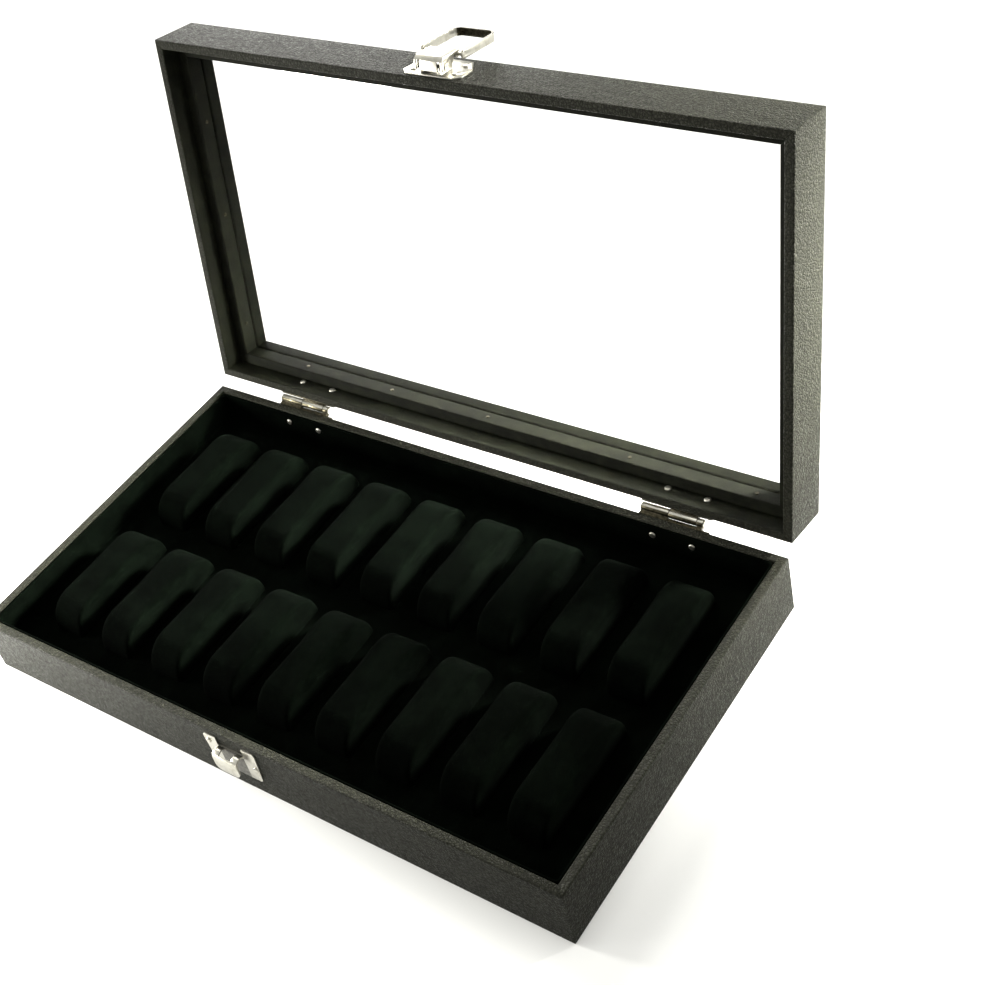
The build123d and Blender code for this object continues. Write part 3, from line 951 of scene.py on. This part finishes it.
@dataclass
class CaseFrame:
    """The four wrapped rails of the base and the four of the lid."""

    half_width: float = 187.5 * MM
    half_depth: float = 105.0 * MM
    rail: float = 5.0 * MM
    base_height: float = 36.0 * MM
    lid_rim: float = 36.3 * MM
    lid_depth: float = 30.0 * MM
    lip_width: float = 7.0 * MM
    lip_thickness: float = 8.0 * MM
    strip_height: float = 9.4 * MM
    glass_gap: float = 10.0 * MM
    strip_round: float = 0.7 * MM
    strip_groove: float = 0.15 * MM
    lining_turn: float = 0.7
    lid: Lid = field(default_factory=Lid)

    def build(self, palette: Palette) -> None:
        """Model and dress the rails and the strips that hold the pane.

        Args:
            palette: the finishes.
        """
        top = self.lid_rim + self.lid_depth
        strip_top = top - self.glass_gap
        for side in Side:
            turn = Matrix.Rotation(side.value * math.pi / 2, 4, "Z")
            run, reach = ((self.half_width, self.half_depth) if side.value % 2 == 0
                          else (self.half_depth, self.half_width))
            base = Moulding(run, reach, self.rail, 0.0, self.base_height)
            self._finish(base, turn, f"base_rail_{side.label}", "base", palette.leatherette)
            rail = Moulding(run, reach, self.rail, self.lid_rim, top, lip_depth=self.lip_width,
                            lip_bottom=top - self.lip_thickness)
            opened = self.lid.opened() @ turn
            self._finish(rail, opened, f"lid_rail_{side.label}", "lid", palette.leatherette,
                         palette.strip)
            strip = Moulding(run - self.rail, reach - self.rail, self.lip_width,
                             strip_top - self.strip_height, strip_top, self.strip_round,
                             self.strip_groove)
            self._finish(strip, opened, f"retaining_strip_{side.label}", "lid", palette.strip)

    def _finish(self, moulding: Moulding, turn: Matrix, node: str, body: str,
                material: bpy.types.Material, lining: bpy.types.Material | None = None) -> None:
        """Build one length, put it in its place and let it stand for its node.

        Args:
            moulding: the length.
            turn: from the front of the shut case to its place.
            node: the CAD node it stands for.
            body: the body it rides on.
            material: its finish.
            lining: the finish of its inner faces, where that differs.
        """
        bench = moulding.build(f"{node}_wrapped")
        bench.place(turn)
        Palette.dress(bench.piece, material, Slot.LEATHERETTE)
        if lining is not None:
            bench.piece.data.materials.append(lining)
            inwards = turn.to_3x3() @ INWARDS
            with bench.editing():
                bench.faces(lambda face: face.normal.dot(inwards) > self.lining_turn)
                bench.piece.active_material_index = 1
                bpy.ops.object.material_slot_assign()
        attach(bench.piece, body)
        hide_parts(node)
        log.info("%s stands for %s", bench.piece.name, node)


# ---- Velvet tray --------------------------------------------------------------------------------
@dataclass
class TrayLining:
    """Velvet-covered card: a floor and four walls, coved where they meet."""

    half_width: float = 182.5 * MM
    half_depth: float = 100.0 * MM
    card: float = 1.5 * MM
    floor: float = 18.0 * MM
    top: float = 35.4 * MM
    cove: float = 1.8 * MM
    lip_round: float = 0.6 * MM

    def build(self, palette: Palette) -> None:
        """Model a pan from one block and dress it.

        Args:
            palette: the finishes.
        """
        inner = Vector((self.half_width - self.card, self.half_depth - self.card, 0.0))
        bench = Bench.block("tray_lining", Vector((-inner.x, -inner.y, self.floor)),
                            Vector((inner.x, inner.y, self.top)))
        with bench.editing():
            bench.faces(lambda face: face.normal.z > SQUARE_ON)
            bpy.ops.mesh.delete(type="FACE")
            bench.edges(lambda edge: runs_along(edge, UP)
                        or middle(edge).z < self.floor + TENTH)
            bpy.ops.mesh.bevel(offset=self.cove, segments=4, profile=0.5)
            bpy.ops.mesh.select_all(action="SELECT")
            bpy.ops.mesh.flip_normals()
        bench.modify("SOLIDIFY", thickness=self.card, offset=-1.0, use_even_offset=True)
        with bench.editing():
            bench.edges(lambda edge: all(vert.co.z > self.top - TENTH for vert in edge.verts)
                        and edge.calc_face_angle(0.0) > CORNER)
            bpy.ops.mesh.bevel(offset=self.lip_round, segments=3, profile=0.5)
        bench.smooth()
        Palette.dress(bench.piece, palette.velvet, Slot.VELVET)
        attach(bench.piece, "base")
        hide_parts("tray_floor", *(f"wall_liner_{side.label}" for side in Side))
        log.info("tray lining done")


class Softness(Enum):
    """How full a hump's padding is, as the pressure under its cover."""

    FIRM = 1.6
    EVEN = 2.4
    FULL = 3.2


@dataclass
class Humps:
    """Two rows of velvet humps that a watch strap lies over."""

    per_row: int = 9
    pitch: float = 37.5 * MM
    width: float = 22.5 * MM
    length: float = 73.0 * MM
    height: float = 17.0 * MM
    end_round: float = 15.0 * MM
    edge_round: float = 2.2 * MM
    row_gap: float = 14.0 * MM
    floor: float = 18.0 * MM
    inset: float = 0.55 * MM
    voxel: float = 1.5 * MM
    most_swell: float = 0.75 * MM
    frames: int = 16
    foot: float = 1.2 * MM
    tension: float = 12.0
    bending: float = 0.4
    shading: float = 60.0

    def build(self, palette: Palette) -> None:
        """Model one hump for each softness and set copies in their places.

        Args:
            palette: the finishes.
        """
        patterns = [self._pattern(softness) for softness in Softness]
        for row, sign in (("front", -1), ("back", 1)):
            for index in range(self.per_row):
                pattern = patterns[(index * 2 + (sign > 0)) % len(patterns)]
                self._set_down(pattern, row, sign, index, palette)
        for pattern in patterns:
            bpy.data.objects.remove(pattern)
        log.info("%d humps done", 2 * self.per_row)

    def _pattern(self, softness: Softness) -> bpy.types.Object:
        """Model one hump about the origin and let its padding swell.

        Args:
            softness: how full it is.

        Returns:
            The hump, ready to be copied.
        """
        low = Vector((-self.width / 2 + self.inset, -self.length / 2 + self.inset, 0.0))
        high = Vector((self.width / 2 - self.inset, self.length / 2 - self.inset,
                       self.height - self.inset))
        bench = Bench.block(f"hump_pattern_{softness.name.lower()}", low, high)
        with bench.editing():
            bench.edges(lambda edge: runs_along(edge, ALONG) and middle(edge).z > self.height / 2)
            bpy.ops.mesh.bevel(offset=self.end_round, segments=12, profile=0.5)
            bench.edges(lambda edge: edge.calc_face_angle(0.0) > CORNER
                        and any(vert.co.z > MM for vert in edge.verts)
                        and not runs_along(edge, ALONG))
            bpy.ops.mesh.bevel(offset=self.edge_round, segments=4, profile=0.5)
        bench.piece.data.remesh_voxel_size = self.voxel
        bench.take()
        bpy.ops.object.voxel_remesh()
        self._swell(bench, softness)
        bench.modify("SUBSURF", levels=1, render_levels=1)
        return bench.smooth(self.shading).piece

    def _swell(self, bench: Bench, softness: Softness) -> None:
        """Blow the cover up a little as cloth, held along its foot.

        Args:
            bench: the bench with the hump on it.
            softness: how full it is.
        """
        piece = bench.piece
        start = [vert.co.copy() for vert in piece.data.vertices]
        foot = piece.vertex_groups.new(name="foot")
        foot.add([vert.index for vert in piece.data.vertices if vert.co.z < self.foot], 1.0,
                 "ADD")
        bench.take()
        cloth = piece.modifiers.new("cover", "CLOTH")
        cloth.settings.vertex_group_mass = foot.name
        cloth.settings.use_pressure = True
        cloth.settings.uniform_pressure_force = softness.value
        cloth.settings.effector_weights.gravity = 0.0
        cloth.settings.tension_stiffness = self.tension
        cloth.settings.bending_stiffness = self.bending
        cloth.point_cache.frame_end = self.frames
        for frame in range(1, self.frames + 1):
            bpy.context.scene.frame_set(frame)
        bpy.ops.object.modifier_apply(modifier=cloth.name)
        bpy.context.scene.frame_set(1)
        for vert, before in zip(piece.data.vertices, start):
            moved = vert.co - before
            if moved.length > self.most_swell:
                vert.co = before + moved * (self.most_swell / moved.length)

    def _set_down(self, pattern: bpy.types.Object, row: str, sign: int, index: int,
                  palette: Palette) -> None:
        """Copy a hump to its place.

        Args:
            pattern: the hump to copy.
            row: front or back.
            sign: -1 for the front row, 1 for the back one.
            index: its number from the left, from 0.
            palette: the finishes.
        """
        name = f"arch_{row}_{index + 1}"
        bench = Bench.twin(f"{name}_pad", pattern)
        x = (index - (self.per_row - 1) / 2) * self.pitch
        y = sign * (self.row_gap + self.length) / 2
        turn = Matrix.Rotation(math.pi * (index % 2), 4, "Z")
        bench.place(Matrix.Translation((x, y, self.floor)) @ turn)
        Palette.dress(bench.piece, palette.velvet, Slot.VELVET)
        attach(bench.piece, "base")
        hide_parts(name)


# ---- Metal --------------------------------------------------------------------------------------
@dataclass
class MetalWork:
    """Pressed and rolled nickel-plated parts, with their sheared edges tumbled soft."""

    edge: float = 0.14 * MM
    sharp: float = 35.0
    pressed: dict[str, str] = field(default_factory=lambda: {
        "keeper_plate": "base", "latch_plate": "lid", "latch_lever": "latch_lever",
        "latch_bail": "latch_bail", "hinge_left_base_leaf": "base",
        "hinge_right_base_leaf": "base", "hinge_left_lid_leaf": "lid",
        "hinge_right_lid_leaf": "lid"})
    turned: tuple[str, ...] = (
        "keeper_rivets", "hinge_base_rivets", "hinge_lid_rivets", "latch_rivets", "strip_brads",
        "hinge_left_pin", "hinge_right_pin", "latch_pivot_pin", "bail_pin")
    shut: Matrix = field(default_factory=lambda: Lid().opened().inverted())
    middle_x: float = -3.0 * MM
    hook_half: float = 8.0 * MM
    lever_inside: float = 7.6 * MM
    bail_far: float = 70.0 * MM
    crook_top: float = 27.7 * MM
    flange_face: float = -105.8 * MM
    throat: float = 5.0 * MM
    barrel_front: float = 107.4 * MM
    # Least or most cosines between a face that gets the brown painted shade and an axis that it
    # looks along.
    bail_edge_turn: float = 0.75
    bail_under_turn: float = 0.6
    lever_face_turn: float = 0.4
    leaf_top_turn: float = 0.75
    leaf_back_turn: float = 0.2
    throat_turn: float = 0.3
    # In millimetres: X of each hinge's middle, and two corners of the folded edge from there.
    hinges: dict[str, float] = field(default_factory=lambda: {"left": -122.5, "right": 122.5})
    fold: tuple[Triple, Triple] = ((-1.85, 105.8, 35.0), (14.25, 107.05, 35.75))

    def build(self, nodes: dict[str, bpy.types.Object], palette: Palette) -> None:
        """Soften the pressed parts and dress them all.

        Args:
            nodes: the CAD nodes by name.
            palette: the finishes.
        """
        for name, body in self.pressed.items():
            bench = Bench.twin(f"{name}_tumbled", nodes[name])
            self._tumble(bench)
            Palette.dress(bench.piece, palette.nickel, Slot.NICKEL)
            # The brown finish goes on as painted shade in the part's hollows and on the bail's
            # edges.
            self._paint_shade(bench, name, palette.tarnish)
            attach(bench.piece, body)
            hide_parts(name)
            log.info("%s tumbled", name)
        for side, centre in self.hinges.items():
            self._shade_gap(side, centre, palette)
        for name in self.turned:
            finish = palette.tarnish if name == "strip_brads" else palette.nickel
            Palette.dress(nodes[name], finish, Slot.NICKEL)

    def _tumble(self, bench: Bench) -> None:
        """Join the loose faces, then round every sharp edge slightly.

        Args:
            bench: the bench with the part on it.
        """
        with bench.editing():
            bpy.ops.mesh.select_all(action="SELECT")
            bpy.ops.mesh.remove_doubles(threshold=TOUCHING)
            bpy.ops.mesh.select_all(action="SELECT")
            bpy.ops.mesh.dissolve_limited(angle_limit=math.radians(0.5))
        bench.modify("BEVEL", width=self.edge, segments=2, limit_method="ANGLE",
                     angle_limit=math.radians(self.sharp), use_clamp_overlap=True)
        bench.smooth(self.sharp)

    def _paint_shade(self, bench: Bench, name: str, material: bpy.types.Material) -> None:
        """Paint the brown finish as shade on the faces of a part that lie in its hollows and folds,
        and on the bail's narrow edges.

        Args:
            bench: the bench with the part on it.
            name: the part's node.
            material: the brown finish.
        """
        tests = {"latch_bail": self._bail_gets_shade, "latch_lever": self._lever_gets_shade,
                 "keeper_plate": self._keeper_gets_shade}
        if name.startswith("hinge"):
            tests[name] = self._leaf_gets_shade
        if name not in tests:
            return
        bench.piece.data.materials.append(material)
        brown = len(bench.piece.data.materials) - 1
        with bench.editing():
            if name == "keeper_plate":
                for sign in (-1, 1):
                    bpy.ops.mesh.select_all(action="SELECT")
                    bpy.ops.mesh.bisect(plane_co=(self.middle_x + sign * self.hook_half, 0.0, 0.0),
                                        plane_no=ALONG)
            bench.faces(lambda face: tests[name](face.calc_center_median(), face.normal))
            bench.piece.active_material_index = brown
            bpy.ops.object.material_slot_assign()

    def _bail_gets_shade(self, place: Vector, normal: Vector) -> bool:
        """The bail's narrow edges and the inside of its far bar, which get painted shade and dark
        reflection.

        Args:
            place: the middle of a face.
            normal: the way it looks.

        Returns:
            Whether it gets the brown painted shade.
        """
        place, normal = self.shut @ place, self.shut.to_3x3() @ normal
        inside = normal.z < -self.bail_under_turn and place.z > self.bail_far
        return abs(normal.y) > self.bail_edge_turn or inside

    def _lever_gets_shade(self, place: Vector, normal: Vector) -> bool:
        """The inside of the lever's channel, which gets painted shade.

        Args:
            place: the middle of a face.
            normal: the way it looks.

        Returns:
            Whether it gets the brown painted shade.
        """
        normal = self.shut.to_3x3() @ normal
        inside = abs(place.x - self.middle_x) < self.lever_inside
        return inside and (normal.y > self.lever_face_turn or abs(normal.x) > SQUARE_ON)

    def _leaf_gets_shade(self, place: Vector, normal: Vector) -> bool:
        """The front of a barrel and the leaf below it, painted brown as the shade of the lid."""
        below = normal.z < self.leaf_top_turn and normal.y < self.leaf_back_turn
        return place.y < self.barrel_front or below

    def _shade_gap(self, side: str, centre: float, palette: Palette) -> None:
        """Fold the top of a base leaf out, close under the lid leaf's knuckle, in the brown finish
        as painted shade that darkens the gap.

        Args:
            side: which hinge.
            centre: X of its middle, in millimetres.
            palette: the finishes.
        """
        (x_in, y_in, z_in), (x_out, y_out, z_out) = self.fold
        bench = Bench.block(f"hinge_{side}_leaf_fold_in_shade",
                            Vector((centre + x_in, y_in, z_in)) * MM,
                            Vector((centre + x_out, y_out, z_out)) * MM)
        bench.modify("BEVEL", width=self.edge / 2, segments=2)
        bench.smooth(self.sharp)
        # Painted shade: the fold is dark brown so the gap under the knuckle reads dark.
        Palette.dress(bench.piece, palette.tarnish, Slot.NICKEL)
        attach(bench.piece, "base")

    def _keeper_gets_shade(self, place: Vector, normal: Vector) -> bool:
        """The inside of the keeper's hook and the flange behind it, which get painted shade.

        Args:
            place: the middle of a face.
            normal: the way it looks.

        Returns:
            Whether it gets the brown painted shade.
        """
        if abs(place.x - self.middle_x) > self.hook_half or place.z > self.crook_top:
            return False
        face = self.flange_face - TENTH
        behind = normal.y < -SQUARE_ON and place.y > face
        throat = face - self.throat < place.y < face and (
            normal.y > self.throat_turn or normal.z < -self.throat_turn)
        return behind or throat


# ---- Pane and boards ----------------------------------------------------------------------------
@dataclass
class FlatStock:
    """The pane, the boards, the battens and the sheet on the underside."""

    def build(self, nodes: dict[str, bpy.types.Object], palette: Palette) -> None:
        """Dress the CAD nodes whose shapes are right as they are.

        Args:
            nodes: the CAD nodes by name.
            palette: the finishes.
        """
        pane = nodes["glass"]
        Palette.dress(pane, palette.glass, Slot.GLASS)
        pane.visible_shadow = False
        for name in ("bottom_panel", "tray_bearers"):
            Palette.dress(nodes[name], palette.board, Slot.BOARD)
        Palette.dress(nodes["underside_cover"], palette.sheet, Slot.SHEET)
        log.info("pane and boards dressed")


def main() -> None:
    """Build the whole scene in order."""
    logging.basicConfig(level=logging.INFO, format="%(name)s: %(message)s")
    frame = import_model()
    palette = Palette()
    Camera().build()
    Room().build(palette)
    CaseFrame().build(palette)
    TrayLining().build(palette)
    Humps().build(palette)
    MetalWork().build(frame["nodes"], palette)
    FlatStock().build(frame["nodes"], palette)


if __name__ == "__main__":
    main()
